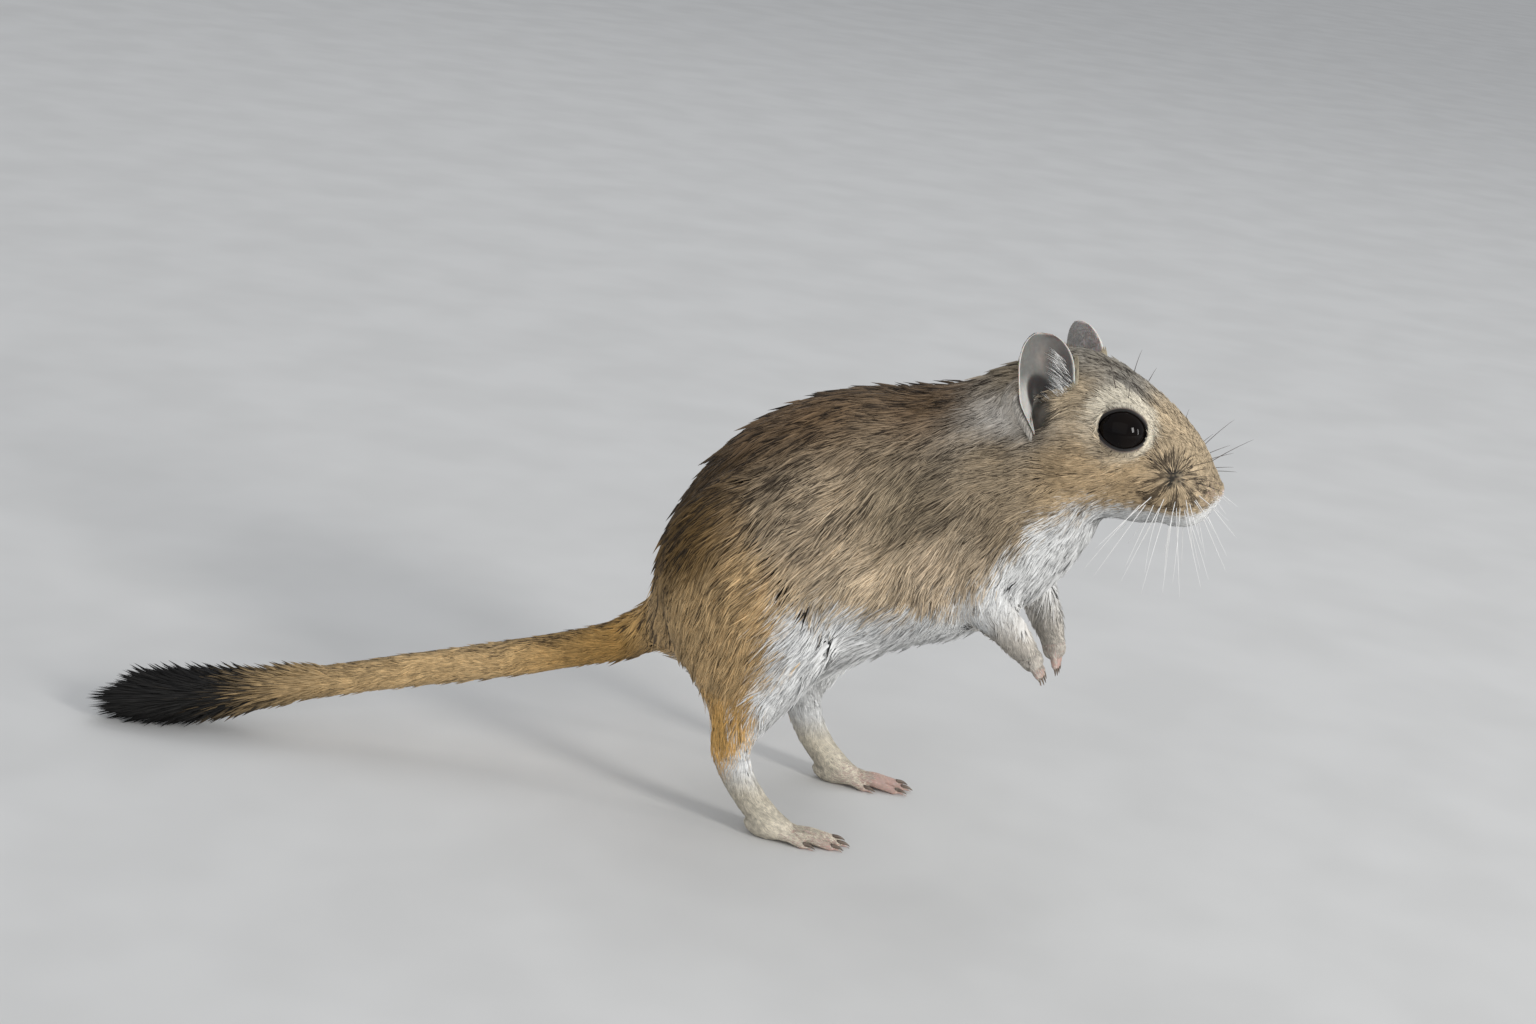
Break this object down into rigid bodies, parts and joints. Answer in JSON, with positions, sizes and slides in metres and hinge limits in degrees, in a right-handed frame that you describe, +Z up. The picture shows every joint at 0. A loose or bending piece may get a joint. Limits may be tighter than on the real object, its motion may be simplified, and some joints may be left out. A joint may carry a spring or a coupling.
{
  "type": "gerbil model",
  "caption": "Life-size still model of a Mongolian gerbil standing on its hind feet, paws hanging, tufted tail laid back to the floor.",
  "frame": {"origin": "on the floor, below the middle of the whole model's box", "axes": "+X the way the animal faces, +Y its left side, +Z up"},
  "size_m": [0.2, 0.0646, 0.1017],
  "materials": {
    "agouti_fur": "short soft fur, golden brown with dark tips",
    "pale_fur": "short soft fur, cream white",
    "tail_fur": "short flat fur, buff with a dark line above",
    "tuft_hair": "longer coarse hair, black",
    "ear_skin": "thin bare skin with fine down",
    "nose_skin": "bare skin, slightly moist",
    "eye": "wet, dark and glossy",
    "claw": "dark horn"
  },
  "bodies": {
    "root": {"head": "agouti_fur", "nose": "nose_skin", "lower_jaw": "pale_fur", "neck": "agouti_fur", "chest": "agouti_fur", "belly": "agouti_fur", "rump": "agouti_fur", "tail_base": "tail_fur", "tail_middle": "tail_fur", "tail_end": "tail_fur", "tail_tuft": "tuft_hair", "eye_left": "eye", "eye_right": "eye", "ear_left": "ear_skin", "ear_right": "ear_skin", "thigh_left": "agouti_fur", "thigh_right": "agouti_fur", "shank_left": "pale_fur", "shank_right": "pale_fur", "hind_foot_left": "pale_fur", "hind_foot_right": "pale_fur", "arm_left": "pale_fur", "arm_right": "pale_fur", "fore_paw_left": "pale_fur", "fore_paw_right": "pale_fur"}
  },
  "joints": []
}
